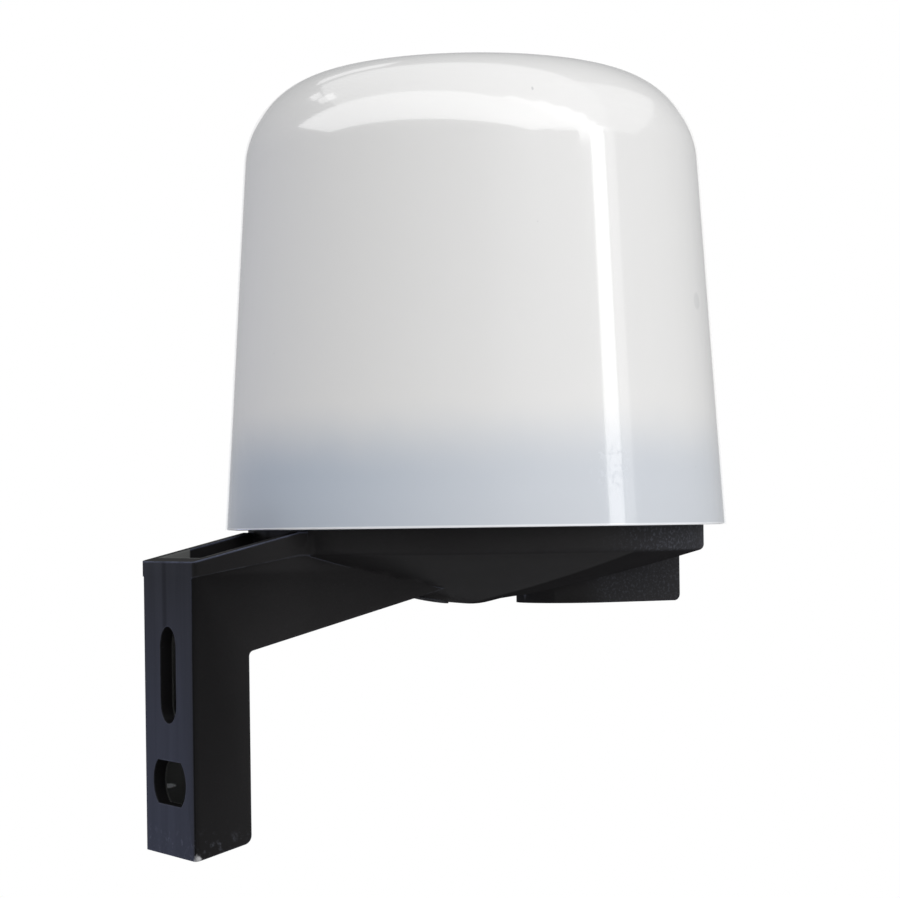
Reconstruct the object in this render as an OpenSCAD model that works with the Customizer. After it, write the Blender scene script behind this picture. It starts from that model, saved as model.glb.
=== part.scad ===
// Photocell switch: an opal dome snapped over a black base that is moulded in one piece with its bracket.
// X points from the wall to the dome and Z points up.
// The origin lies on the wall face, midway between the fixing slot and the cable hole.
// Values called a drop are measured downwards from the plane of the dome's rim.

/* [Dome] */
// Outside diameter of the dome at its rim
rim_d = 75.4; // [70:0.2:84]
// Height of the dome from its rim to the top of its crown
dome_h = 69.3; // [60:0.1:80]
// Wall thickness of the dome
dome_wall = 2; // [1.6:0.1:2.6]
// Taper of the dome's side in degrees
dome_draft = 3.6; // [2:0.1:5]
// Radius of the dome's shoulder
shoulder_r = 14; // [10:0.5:17]
// Rise of the crown across the top of the dome
crown_rise = 4; // [3:0.1:6]
// Rounding of the rim's outer lower edge
rim_edge_r = 0.5; // [0.3:0.1:0.8]
// Radius of the snap bead inside the dome
bead_r = 0.6; // [0.5:0.05:0.8]
// Height of the snap bead above the rim
bead_z = 10; // [8.5:0.1:11.5]

/* [Base] */
// Diameter of the base's round skirt below the dome
skirt_d = 68.5; // [64:0.5:69]
// Depth of the round skirt below the rim
skirt_h = 3.6; // [3:0.1:5]
// Depth of the bowl below the skirt, at its middle
bowl_depth = 8; // [6:0.1:10]
// Share of the bowl's depth that follows a curve, the rest being a straight cone
bowl_curve = 0.24; // [0:0.02:0.5]
// Rounding of the skirt's lower edge
skirt_edge_r = 0.9; // [0.5:0.1:1.2]
// Thickness of the bowl and of the skirt
base_wall = 2; // [1.6:0.1:2.4]
// Height of the collar that stands up inside the dome
collar_h = 14.8; // [13:0.1:18]
// Wall thickness of the collar
collar_wall = 2.4; // [2:0.1:3]
// Gap between the collar and the dome
collar_gap = 0.3; // [0.2:0.05:0.4]
// Thickness of the round seal
seal_d = 1.5; // [1.2:0.1:1.8]
// Height of the seal above the rim
seal_z = 4.5; // [3.5:0.1:6]
// Gap round the seal in its groove
seal_gap = 0.05; // [0.02:0.01:0.1]
// Gap round the snap bead in its groove
bead_gap = 0.15; // [0.1:0.05:0.2]
// Diameter of the drain boss below the bowl
drain_boss_d = 5.4; // [4.5:0.1:7]
// Distance of the drain boss from the dome's axis, towards the wall
drain_boss_x = 8; // [7:0.1:9]
// Drop of the drain boss's lower end, at its middle
drain_boss_drop = 10.8; // [10.5:0.1:12]
// Diameter of the drain hole
drain_d = 2; // [1.5:0.1:3]

/* [Bracket] */
// Distance from the wall to the dome's axis
reach = 50.5; // [46:0.5:60]
// Width of the bracket
bracket_w = 18; // [16:0.2:22]
// Depth of the upright limb, out from the wall
limb_depth = 8.4; // [8.2:0.1:10]
// Drop of the wall face's upper end
wall_top_drop = 4.2; // [3.5:0.1:6]
// Length of the wall face
wall_face_h = 41.4; // [40:0.2:50]
// Drop of the arm's lower edge where it leaves the limb
arm_drop = 16.9; // [15:0.1:18]
// Rise of the arm's lower edge and of the limb's foot in degrees
arm_rise = 14.4; // [13.5:0.1:15.5]
// Gap between the arm's upper edge and the dome's rim
rim_gap = 0.3; // [0.2:0.1:0.8]
// Thickness of the wall plate
plate_t = 2; // [1.6:0.1:2.4]
// Thickness of the cheeks, of the arm's floor and of the limb's other walls
cheek_t = 1.8; // [1.5:0.1:2.2]
// Height of the raised lip at the wall end of the arm's upper edge
lip_h = 2.2; // [1.6:0.1:3]
// How far the lip stands out from each cheek
lip_proud = 0.35; // [0.2:0.05:0.6]
// Rounding of the limb's upright edges
edge_r = 0.8; // [0.4:0.1:1.2]
// Rounding of the limb's lower corner on the dome side
foot_r = 1.3; // [0.8:0.1:2]
// Distance from the dome's axis at which the cable passage ends
passage_end = 12; // [11.5:0.1:14]
// Height of the wire rib inside the limb
rib_h = 1.2; // [0.8:0.1:2]
// How far the wire rib stands out
rib_proud = 0.5; // [0.3:0.05:0.6]

/* [Wall openings] */
// Width of the fixing slot
slot_w = 5.5; // [4.5:0.1:6.5]
// Length of the fixing slot from end to end
slot_l = 13.7; // [10:0.1:14.5]
// Drop of the fixing slot's middle
slot_drop = 20.2; // [19:0.1:20.6]
// Width of the cable hole
cable_hole_w = 11.4; // [9.5:0.1:13]
// Height of the cable hole between its flats
cable_hole_h = 6.2; // [5:0.1:7]
// Radius of the cable hole's round ends
cable_hole_end_r = 3.6; // [3.5:0.1:4.5]
// Drop of the cable hole's middle
cable_hole_drop = 35.4; // [34.8:0.1:37]

/* [Terminal box] */
// Distance from the dome's axis to the round end of the terminal box
box_start = 8.5; // [8:0.1:10.5]
// Distance from the dome's axis to the flat end of the terminal box
box_end = 31; // [28:0.1:31.5]
// Drop of the terminal box's floor
box_drop = 11.6; // [11.2:0.1:14]
// Rounding of the terminal box's lower corner
box_r = 1; // [0.5:0.1:1.6]

/* [Circuit board] */
// Gap between the circuit board and the collar
board_gap = 1.4; // [0.8:0.1:2]
// Thickness of the circuit board
board_t = 1.6; // [1:0.1:2]
// Height of the circuit board's underside above the rim
board_z = 4; // [3:0.1:6]
// Distance from the dome's axis to the board's straight edge
board_flat_x = 21.4; // [21.2:0.1:22.5]
// Distance from the circuit board's edge to the middle of each post
post_inset = 2.8; // [2.6:0.1:3.2]
// Turn of the rear posts from the middle plane in degrees
post_turn = 49.5; // [47:0.5:52]
// Diameter of the board's posts
post_d = 6; // [5:0.1:7]
// Diameter of the pilot hole in each post
pilot_d = 2.1; // [1.8:0.1:2.3]
// Thread diameter of the board screws
screw_d = 2.6; // [2.4:0.1:3]
// Length of the board screws below their heads
screw_l = 6.5; // [5:0.1:7.5]
// Head diameter of the board screws
screw_head_d = 5; // [4.4:0.1:6]
// Head height of the board screws
screw_head_h = 1.6; // [1.2:0.1:2]

/* [Parts on the board] */
// Least gap between neighbouring parts
part_gap = 1.2; // [0.8:0.1:1.6]
// Distance of the dropper capacitor from the dome's axis, towards the wall
dropper_x = 6; // [5.5:0.1:6.5]
// Size of the relay along X
relay_l = 15.5; // [14:0.1:17]
// Size of the relay along Y
relay_w = 19; // [17:0.1:20]
// Height of the relay
relay_h = 15.3; // [12:0.1:20]
// Size of the dropper capacitor along X
dropper_l = 8; // [6:0.1:9]
// Size of the dropper capacitor along Y
dropper_w = 18; // [15:0.1:19]
// Height of the dropper capacitor
dropper_h = 14; // [10:0.1:18]
// Diameter of the smoothing capacitor
smoother_d = 8; // [6:0.1:9]
// Height of the smoothing capacitor
smoother_h = 12; // [9:0.1:16]
// Diameter of the surge varistor
varistor_d = 10; // [7:0.1:11]
// Thickness of the surge varistor
varistor_t = 3.8; // [3:0.1:4.2]
// Diameter of the light sensor's cell
sensor_d = 6; // [5:0.1:7]
// Height of the tube that holds the light sensor
sensor_tube_h = 20; // [14:0.2:30]
// Wall thickness of the light sensor's tube
sensor_tube_wall = 0.8; // [0.6:0.1:1]
// Body diameter of the diodes
diode_d = 2.6; // [2:0.1:2.8]
// Body length of the diodes
diode_l = 5; // [4:0.1:5.5]
// Distance between a diode's leads
diode_span = 8; // [7.6:0.1:8.6]
// Body diameter of the zener diode
zener_d = 1.8; // [1.5:0.1:2]
// Body length of the zener diode
zener_l = 3.6; // [3:0.1:4]
// Distance between the zener diode's leads
zener_span = 6; // [5.6:0.1:6.6]
// Body diameter of the resistors
resistor_d = 2.2; // [1.8:0.1:2.4]
// Body length of the resistors
resistor_l = 5.6; // [5:0.1:6.2]
// Distance between a resistor's leads
resistor_span = 9; // [8.4:0.1:9.4]
// Distance between neighbouring resistors
resistor_pitch = 2.8; // [2.6:0.05:2.9]
// Body diameter of the transistor
transistor_d = 4.8; // [4.4:0.1:5.2]
// Body height of the transistor
transistor_h = 4.6; // [4:0.1:5.2]
// Diameter of the component leads
lead_d = 0.8; // [0.6:0.1:1]
// Height of a lying component's middle above the board
lead_lift = 2.2; // [2:0.1:2.6]

/* [Terminals] */
// Distance between neighbouring terminals
terminal_pitch = 4.2; // [4:0.1:4.3]
// Depth of the terminal block along X
block_l = 10.4; // [10:0.1:12]
// Height of the terminal block
block_h = 9.6; // [9:0.1:10.4]
// Gap between the terminal block and the box's walls
block_gap = 0.4; // [0.3:0.05:0.6]
// Diameter of the terminal screws
terminal_screw_d = 2.6; // [2.4:0.1:2.8]
// Diameter of the wire entries
wire_entry_d = 2.8; // [2.4:0.1:2.9]
// Width of the terminal clamps
clamp_w = 3.2; // [3.1:0.05:3.3]
// Clearance of pieces that fit into each other by hand
fit_gap = 0.1; // [0.05:0.05:0.15]

/* [Inlet seal] */
// Length of the inlet grommet along the arm
grommet_l = 5; // [4:0.1:6]
// Diameter of the cable bore in the inlet grommet
grommet_bore_d = 6.4; // [5:0.1:6.6]

/* [Hidden] */

// Steps on a rounded corner, on the dome's arcs and on the bowl
corner_steps = 6;
arc_steps = 12;
bowl_steps = 8;
// Facets of round shapes
round_fn = 96;
hole_fn = 32;
// Extra length that carries a cut past a face or a solid into its neighbour
over = 1;

rim_r = rim_d / 2;
skirt_r = skirt_d / 2;
// Height of the rim's plane above the origin
rim_z = (slot_drop + slot_l / 2 + cable_hole_drop - cable_hole_h / 2) / 2;
half_w = bracket_w / 2;
inner_half_w = half_w - cheek_t;
// Upright thickness of the sloped floor in the arm and of the limb's foot
floor_rise = cheek_t / cos(arm_rise);

// Arcs of the dome: the crown's sphere, and the shoulder's circle that touches crown and tapered side
side_slope = tan(dome_draft);
dome_top_r = rim_r - dome_h * side_slope;
crown_r = (pow(dome_top_r, 2) + pow(crown_rise, 2)) / (2 * crown_rise);
crown_z = dome_h - crown_r;
side_reach = rim_r - shoulder_r / cos(dome_draft) - crown_z * side_slope;
arc_gap = crown_r - shoulder_r;
shoulder_rise = (side_reach * side_slope + sqrt(pow(side_reach * side_slope, 2)
    - (1 + pow(side_slope, 2)) * (pow(side_reach, 2) - pow(arc_gap, 2)))) / (1 + pow(side_slope, 2));
shoulder_x = side_reach - shoulder_rise * side_slope;
shoulder_z = crown_z + shoulder_rise;
shoulder_end = atan2(shoulder_rise, shoulder_x);

// Radius of the dome's inner wall at a height above the rim
function dome_in_r(z) = rim_r - dome_wall / cos(dome_draft) - z * side_slope;
// Radius of the collar's outer wall at a height above the rim
function collar_r(z) = dome_in_r(z) - collar_gap;
// Depth of the bowl's outside below the skirt, at a distance from the axis
function bowl_at(r) = bowl_depth * (1 - (1 - bowl_curve) * r / skirt_r - bowl_curve * pow(r / skirt_r, 2));
// Height of the bowl's inner floor at a distance from the axis
function bowl_floor(r) = -skirt_h - bowl_at(r) + base_wall;
// Height of the arm's lower edge at a distance from the wall
function arm_low(x) = -arm_drop + (x - limb_depth) * tan(arm_rise);

// Points of an arc that rounds the corner b between a and c
function corner(a, b, c, r) =
    let (u = (a - b) / norm(a - b))
    let (v = (c - b) / norm(c - b))
    let (half = acos(u * v) / 2)
    let (centre = b + (u + v) / norm(u + v) * r / sin(half))
    let (start = b + u * r / tan(half) - centre)
    let (side = sign(cross(b - a, c - b)))
    [for (i = [0:corner_steps])
        let (t = side * (180 - 2 * half) * i / corner_steps)
        centre + [start.x * cos(t) - start.y * sin(t), start.x * sin(t) + start.y * cos(t)]];

// Outline of [x, z, corner radius] points, with its corners rounded
function rounded(points) =
    let (n = len(points))
    let (flat = [for (p = points) [p.x, p.y]])
    [for (i = [0:n - 1])
        each points[i].z == 0 ? [flat[i]]
            : corner(flat[(i + n - 1) % n], flat[i], flat[(i + 1) % n], points[i].z)];

// Dome outline from rim to crown, set in by a distance from the outer surface
function dome_line(inset) = concat(
    [for (i = [0:arc_steps])
        let (t = dome_draft + (shoulder_end - dome_draft) * i / arc_steps)
        [shoulder_x, shoulder_z] + (shoulder_r - inset) * [cos(t), sin(t)]],
    [for (i = [1:arc_steps])
        let (t = shoulder_end + (90 - shoulder_end) * i / arc_steps)
        [0, crown_z] + (crown_r - inset) * [cos(t), sin(t)]]);

function reversed(list) = [for (i = [len(list) - 1:-1:0]) list[i]];

// Puts children at the dome's axis, level with the rim
module at_dome() {
    translate([reach, 0, rim_z]) children();
}

// Extrudes an outline of [x, z] points across a width that is centred on the bracket's middle plane
module across(width) {
    rotate([90, 0, 0]) linear_extrude(width, center = true) children();
}

// Upright box that is centred in X and Y on a point and stands on its lower face
module upright(size, centre = [0, 0, 0]) {
    translate(centre + [-size.x / 2, -size.y / 2, 0]) cube(size);
}

// Base and bracket

// Side view of arm and limb, filled
module bracket_side() {
    foot = -wall_top_drop - wall_face_h;
    polygon(rounded([
        [0, -wall_top_drop, 0],
        [reach - skirt_r, -rim_gap, 0],
        [reach - skirt_r + base_wall, -rim_gap, 0],
        [reach - drain_boss_x, arm_low(reach - drain_boss_x), 0],
        [limb_depth, -arm_drop, edge_r],
        [limb_depth, foot + limb_depth * tan(arm_rise), foot_r],
        [0, foot, 0]]));
}

// Plan view of arm and limb, with the wall face's two edges rounded
module bracket_plan(half) {
    polygon(rounded([[0, -half, edge_r], [reach, -half, 0], [reach, half, 0], [0, half, edge_r]]));
}

// Raised lips along the arm's upper edge, which run into the skirt
module arm_lips() {
    end_x = reach - skirt_r + base_wall;
    intersection() {
        across(bracket_w + 2 * lip_proud)
            polygon([[0, -wall_top_drop], [reach - skirt_r, -rim_gap], [end_x, -rim_gap],
                [end_x, -skirt_h], [reach - skirt_r, -skirt_h], [0, -wall_top_drop - lip_h]]);
        translate([0, 0, -arm_drop])
            linear_extrude(arm_drop) bracket_plan(half_w + lip_proud);
    }
}

// Space inside the limb and the arm, open at the top as far as the skirt
module cable_channel() {
    foot = -wall_top_drop - wall_face_h;
    rear_x = limb_depth - cheek_t;
    end_x = reach - skirt_r + base_wall / 2;
    difference() {
        across(2 * inner_half_w)
            polygon([[plate_t, over], [end_x, over], [end_x, arm_low(end_x) + floor_rise],
                [rear_x, arm_low(rear_x) + floor_rise],
                [rear_x, foot + rear_x * tan(arm_rise) + floor_rise],
                [plate_t, foot + plate_t * tan(arm_rise) + floor_rise]]);
        translate([rear_x - rib_proud, -slot_w / 2, -cable_hole_drop - rib_h])
            cube([rib_proud + over, inner_half_w + slot_w / 2 + over, rib_h]);
    }
}

// Way under the skirt from the arm's channel into the bowl
module cable_passage() {
    start_x = reach - skirt_r - over;
    inside_x = reach - skirt_r + base_wall;
    end_x = reach - passage_end;
    across(2 * inner_half_w)
        polygon([[start_x, arm_low(start_x) + floor_rise], [end_x, arm_low(end_x) + floor_rise],
            [end_x, 0], [inside_x, 0], [inside_x, -skirt_h], [start_x, -skirt_h]]);
}

// Fixing slot through the wall plate
module fixing_slot() {
    run = slot_l - slot_w;
    translate([-over, 0, -slot_drop]) {
        for (end = [-1, 1])
            translate([0, 0, end * run / 2])
                rotate([0, 90, 0]) cylinder(h = plate_t + 2 * over, d = slot_w, $fn = hole_fn);
        translate([0, -slot_w / 2, -run / 2]) cube([plate_t + 2 * over, slot_w, run]);
    }
}

// Cable hole through the wall plate, with round ends and flat upper and lower edges
module cable_hole() {
    run = cable_hole_w - 2 * cable_hole_end_r;
    depth = plate_t + 2 * over;
    translate([-over, 0, -cable_hole_drop])
        intersection() {
            union() {
                for (end = [-1, 1])
                    translate([0, end * run / 2, 0])
                        rotate([0, 90, 0]) cylinder(h = depth, r = cable_hole_end_r, $fn = hole_fn);
                translate([0, -run / 2, -cable_hole_end_r]) cube([depth, run, 2 * cable_hole_end_r]);
            }
            translate([0, -cable_hole_w / 2, -cable_hole_h / 2]) cube([depth, cable_hole_w, cable_hole_h]);
        }
}

// Outside of skirt, bowl and collar
module bowl_outside() {
    bowl = [for (i = [0:bowl_steps - 1])
        let (r = skirt_r * i / bowl_steps)
        [r, -skirt_h - bowl_at(r), 0]];
    rotate_extrude($fn = round_fn)
        polygon(rounded(concat(bowl, [
            [skirt_r, -skirt_h, skirt_edge_r],
            [skirt_r, 0, 0],
            [collar_r(0), 0, 0],
            [collar_r(collar_h), collar_h, 0],
            [0, collar_h, 0]])));
}

// Space inside skirt, bowl and collar
module bowl_inside() {
    floor_r = skirt_r - base_wall;
    bowl = [for (i = [0:bowl_steps])
        let (r = floor_r * i / bowl_steps)
        [r, bowl_floor(r)]];
    rotate_extrude($fn = round_fn)
        polygon(concat(bowl, [
            [floor_r, 0],
            [collar_r(collar_h) - collar_wall, over],
            [collar_r(collar_h) - collar_wall, collar_h + over],
            [0, collar_h + over]]));
}

// Grooves in the collar for the seal and for the dome's snap bead
module collar_grooves() {
    seal_r = dome_in_r(seal_z) - seal_d - 2 * seal_gap;
    seal_h = seal_d + 2 * seal_gap;
    rotate_extrude($fn = round_fn) {
        translate([seal_r, seal_z - seal_h / 2]) square([seal_d + over, seal_h]);
        translate([dome_in_r(bead_z), bead_z]) circle(r = bead_r + bead_gap, $fn = hole_fn);
    }
}

// Side view of the terminal box below the bowl, set in by a wall
module box_side(inset) {
    top = inset > 0 ? 0 : -skirt_h;
    polygon(rounded([
        [box_start, top, 0],
        [box_start, -box_drop + inset, 0],
        [box_end - inset, -box_drop + inset, inset > 0 ? 0 : box_r],
        [box_end - inset, top, 0]]));
}

// Plan view of the terminal box, with its round end towards the wall
module box_plan(half) {
    middle = box_start + half_w;
    translate([middle, 0]) circle(r = half, $fn = round_fn);
    translate([middle, -half]) square([box_end - middle, 2 * half]);
}

// Outside of the terminal box, or the space inside it when set in by a wall
module box_body(half, inset) {
    intersection() {
        across(2 * half) box_side(inset);
        translate([0, 0, -box_drop]) linear_extrude(box_drop) box_plan(half);
    }
}

// Puts children at the drain boss's lower end, square to the bowl
module at_drain() {
    bowl_slope = (bowl_at(0) - bowl_at(drain_boss_x)) / drain_boss_x;
    translate([-drain_boss_x, 0, -drain_boss_drop]) rotate([0, atan(bowl_slope), 0]) children();
}

// The circuit board fits inside the collar
board_d = 2 * (collar_r(collar_h) - collar_wall - board_gap);
board_top = board_z + board_t;
// Middle points of the board's posts, two beside the cable passage and two in line with the dome's axis
post_r = board_d / 2 - post_inset;
post_spots = [for (side = [-1, 1]) for (turn = [post_turn, 90]) post_r * [-cos(turn), side * sin(turn)]];

module board_posts() {
    for (spot = post_spots)
        let (foot = bowl_floor(norm(spot)) - base_wall / 2)
        translate([spot.x, spot.y, foot])
            difference() {
                cylinder(h = board_z - foot, d = post_d, $fn = hole_fn);
                translate([0, 0, board_z - foot - screw_l])
                    cylinder(h = screw_l + over, d = pilot_d, $fn = hole_fn);
            }
}

module base_bracket() {
    color("#26262b") {
        difference() {
            union() {
                translate([0, 0, rim_z])
                    difference() {
                        union() {
                            intersection() {
                                across(bracket_w) bracket_side();
                                translate([0, 0, -wall_top_drop - wall_face_h])
                                    linear_extrude(wall_top_drop + wall_face_h) bracket_plan(half_w);
                            }
                            arm_lips();
                        }
                        cable_channel();
                    }
                at_dome() {
                    bowl_outside();
                    box_body(half_w, 0);
                    at_drain() cylinder(h = drain_boss_drop - skirt_h, d = drain_boss_d, $fn = hole_fn);
                }
            }
            translate([0, 0, rim_z]) {
                cable_passage();
                fixing_slot();
                cable_hole();
            }
            at_dome() {
                bowl_inside();
                collar_grooves();
                box_body(inner_half_w, base_wall);
                at_drain()
                    translate([0, 0, -over]) cylinder(h = drain_boss_drop, d = drain_d, $fn = hole_fn);
            }
        }
        at_dome() board_posts();
    }
}

// Dome and seals

module dome_cover() {
    edge = [for (i = [0:corner_steps])
        let (t = -90 + 90 * i / corner_steps)
        [rim_r - rim_edge_r * (1 + side_slope), rim_edge_r] + rim_edge_r * [cos(t), sin(t)]];
    color("#e9ebee")
        at_dome()
            rotate_extrude($fn = round_fn) {
                polygon(concat(edge, dome_line(0), reversed(dome_line(dome_wall)), [[dome_in_r(0), 0]]));
                intersection() {
                    translate([dome_in_r(bead_z), bead_z]) circle(r = bead_r, $fn = hole_fn);
                    translate([dome_in_r(bead_z) - bead_r, bead_z - bead_r])
                        square([bead_r + dome_wall / 2, 2 * bead_r]);
                }
            }
}

module dome_seal() {
    color("#303034")
        at_dome()
            rotate_extrude($fn = round_fn)
                translate([dome_in_r(seal_z) - seal_gap - seal_d / 2, seal_z])
                    circle(d = seal_d, $fn = hole_fn);
}

// Rubber block that closes the passage under the skirt round the cable
module inlet_grommet() {
    start_x = reach - skirt_r + fit_gap;
    end_x = start_x + grommet_l;
    top = -skirt_h - fit_gap;
    low_start = arm_low(start_x) + floor_rise + fit_gap;
    low_end = arm_low(end_x) + floor_rise + fit_gap;
    color("#3a3a3d")
        translate([0, 0, rim_z])
            difference() {
                across(2 * (inner_half_w - fit_gap))
                    polygon([[start_x, low_start], [end_x, low_end], [end_x, top], [start_x, top]]);
                translate([start_x - over, 0, (top + low_end) / 2])
                    rotate([0, 90, 0])
                        cylinder(h = grommet_l + 2 * over, d = grommet_bore_d, $fn = hole_fn);
            }
}

// Circuit board

// Places of the terminals across the box
terminal_spots = [for (i = [-1:1]) i * terminal_pitch];
// Thickness and width of the clamps' tags, and the block's wall in front of them
tag_t = 0.8;
tag_w = 1.6;
tag_cover = 1.1;
// Distance of the terminal block's front face and of its tags from the dome's axis
block_x = box_end - base_wall - block_gap - block_l;
tag_x = block_x + tag_cover + tag_t / 2;

module circuit_board() {
    color("#2f6b3c")
        at_dome()
            translate([0, 0, board_z])
                difference() {
                    intersection() {
                        cylinder(h = board_t, d = board_d, $fn = round_fn);
                        translate([-board_d, -board_d, 0])
                            cube([board_d + board_flat_x, 2 * board_d, board_t]);
                    }
                    for (spot = post_spots)
                        translate([spot.x, spot.y, -over])
                            cylinder(h = board_t + 2 * over, d = screw_d + 2 * fit_gap, $fn = hole_fn);
                    for (y = terminal_spots)
                        upright([tag_t + 2 * fit_gap, tag_w + 2 * fit_gap, board_t + 2 * over],
                            [tag_x, y, -over]);
                }
}

// Pan-head screws that form their thread in the posts' pilot holes
module board_screws() {
    shank_d = pilot_d - 2 * fit_gap;
    cross_l = screw_head_d * 0.6;
    cross_w = screw_head_d / 6;
    tip = screw_l - board_t / 2;
    color("#c4c6c8")
        at_dome()
            for (spot = post_spots)
                translate([spot.x, spot.y, board_top]) {
                    difference() {
                        cylinder(h = screw_head_h, d = screw_head_d, $fn = hole_fn);
                        for (turn = [0, 90])
                            rotate(turn)
                                upright([cross_l, cross_w, over], [0, 0, screw_head_h / 2]);
                    }
                    translate([0, 0, -tip]) cylinder(h = tip, d = shank_d, $fn = hole_fn);
                }
}

// Parts on the board

// A part that lies between two bent leads along Y, with its middle above the spot
module lying_part(spot, body_d, body_l, span, tint) {
    lead_l = (span - body_l) / 2 + over;
    translate([spot.x, spot.y, board_top]) {
        color(tint)
            translate([0, 0, lead_lift])
                rotate([90, 0, 0]) cylinder(h = body_l, d = body_d, center = true, $fn = hole_fn);
        for (side = [-1, 1])
            color("#c9c9c4") {
                translate([0, side * span / 2, 0])
                    cylinder(h = lead_lift + lead_d / 2, d = lead_d, $fn = hole_fn);
                translate([0, side * (body_l / 4 + span / 4), lead_lift])
                    rotate([90, 0, 0]) cylinder(h = lead_l, d = lead_d, center = true, $fn = hole_fn);
            }
    }
}

// Board spots, measured from the dome's axis
diode_y = 18;
diode_rows = [-0.5, 2.9];
smoother_x = -8;
dropper_spot = [-dropper_x, 0];
relay_spot = [dropper_spot.x - dropper_l / 2 - part_gap - relay_l / 2, 0];
varistor_spot = [relay_spot.x + relay_l / 2 - varistor_t / 2, relay_w / 2 + part_gap + varistor_d / 2];
smoother_spot = [smoother_x, -dropper_w / 2 - part_gap - smoother_d / 2];
zener_spot = [smoother_x - smoother_d / 2 - part_gap - zener_d / 2,
    -(relay_w + zener_span + lead_d) / 2 - part_gap];
sensor_spot = [3, -8];
transistor_spot = [3, 9];
diode_spots = [for (x = diode_rows) for (side = [-1, 1]) [x, side * diode_y]];
resistor_spots = [for (i = [0:2])
    [varistor_spot.x + varistor_t / 2 + part_gap + resistor_d / 2 + i * resistor_pitch,
        (dropper_w + resistor_span + lead_d) / 2 + part_gap]];

module relay() {
    wall = 0.6;
    color("#3c6fa8")
        at_dome() {
            upright([relay_l, relay_w, relay_h - wall], [relay_spot.x, relay_spot.y, board_top]);
            upright([relay_l - 2 * wall, relay_w - 2 * wall, relay_h],
                [relay_spot.x, relay_spot.y, board_top]);
        }
}

module dropper_capacitor() {
    top_r = 1;
    color("#b8452f")
        at_dome()
            translate([dropper_spot.x, dropper_spot.y, board_top])
                rotate([90, 0, 0])
                    linear_extrude(dropper_w, center = true)
                        polygon(rounded([[-dropper_l / 2, 0, 0], [dropper_l / 2, 0, 0],
                            [dropper_l / 2, dropper_h, top_r], [-dropper_l / 2, dropper_h, top_r]]));
}

module smoothing_capacitor() {
    groove = 0.4;
    groove_z = 1.6;
    can_r = smoother_d / 2;
    color("#2b3a67")
        at_dome()
            translate([smoother_spot.x, smoother_spot.y, board_top])
                rotate_extrude($fn = round_fn)
                    polygon([[0, 0], [can_r, 0], [can_r, groove_z - groove], [can_r - groove, groove_z],
                        [can_r, groove_z + groove], [can_r, smoother_h - groove],
                        [can_r - groove, smoother_h], [0, smoother_h]]);
}

module rectifier_diodes() {
    at_dome()
        for (spot = diode_spots)
            lying_part(spot, diode_d, diode_l, diode_span, "#2a2a2c");
}

module zener_diode() {
    at_dome() lying_part(zener_spot, zener_d, zener_l, zener_span, "#c2683a");
}

module resistors() {
    at_dome()
        for (spot = resistor_spots)
            lying_part(spot, resistor_d, resistor_l, resistor_span, "#c9b48a");
}

module surge_varistor() {
    lift = 1;
    at_dome()
        translate([varistor_spot.x, varistor_spot.y, board_top]) {
            color("#2e5aa0")
                translate([0, 0, lift + varistor_d / 2])
                    rotate([0, 90, 0])
                        cylinder(h = varistor_t, d = varistor_d, center = true, $fn = round_fn);
            color("#c9c9c4")
                for (side = [-1, 1])
                    translate([0, side * varistor_d / 4, 0])
                        cylinder(h = lift + varistor_d / 4, d = lead_d, $fn = hole_fn);
        }
}

module driver_transistor() {
    lift = 2;
    leg_pitch = 1.3;
    leg_d = lead_d * 0.75;
    cut_x = transistor_d * 0.8;
    at_dome()
        translate([transistor_spot.x, transistor_spot.y, board_top]) {
            color("#2a2a2c")
                translate([0, 0, lift])
                    difference() {
                        cylinder(h = transistor_h, d = transistor_d, $fn = hole_fn);
                        upright([transistor_d, transistor_d, transistor_h + 2 * over], [cut_x, 0, -over]);
                    }
            color("#c9c9c4")
                for (i = [-1:1])
                    translate([0, leg_pitch * i, 0]) cylinder(h = lift + over, d = leg_d, $fn = hole_fn);
        }
}

// Tube that lifts the light sensor above the other parts
module sensor_tube() {
    bore_d = sensor_d - 2 * sensor_tube_wall;
    color("#e4e2da")
        at_dome()
            translate([sensor_spot.x, sensor_spot.y, board_top])
                difference() {
                    cylinder(h = sensor_tube_h, d = sensor_d, $fn = round_fn);
                    translate([0, 0, -over])
                        cylinder(h = sensor_tube_h + 2 * over, d = bore_d, $fn = round_fn);
                }
}

// Light sensor: a ceramic cell with its track showing as raised bars, on two leads inside the tube
module light_sensor() {
    cell_h = 1.6;
    bars = 5;
    bar_w = 0.35;
    bar_h = 0.25;
    step = sensor_d / (bars + 2);
    at_dome()
        translate([sensor_spot.x, sensor_spot.y, board_top]) {
            color("#d8c9a6")
                translate([0, 0, sensor_tube_h]) cylinder(h = cell_h, d = sensor_d, $fn = round_fn);
            color("#a8442c")
                for (i = [0:bars - 1])
                    let (x = (i - (bars - 1) / 2) * step)
                    let (chord = 2 * sqrt(pow(sensor_d / 2, 2) - pow(x, 2)) - 2 * bar_w)
                    upright([bar_w, chord, bar_h], [x, 0, sensor_tube_h + cell_h]);
            color("#c9c9c4")
                for (side = [-1, 1])
                    translate([0, side * sensor_d / 5, 0])
                        cylinder(h = sensor_tube_h, d = lead_d, $fn = hole_fn);
        }
}

// Terminals

block_z = -box_drop + base_wall;
// Height, length and lift of the clamps inside the block
clamp_h = 5.4;
clamp_l = 5.6;
clamp_z = 1;
// Thickness of the clamp's threaded roof, which the open screw just passes through
clamp_roof = 1.2;
// Gap round each clamp, and the block's wall behind it
cell_gap = 0.15;
cell_wall = 1.2;
// Distance from the dome's axis to the middle of the clamps
clamp_x = block_x + block_l - clamp_l / 2 - cell_wall;

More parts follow.
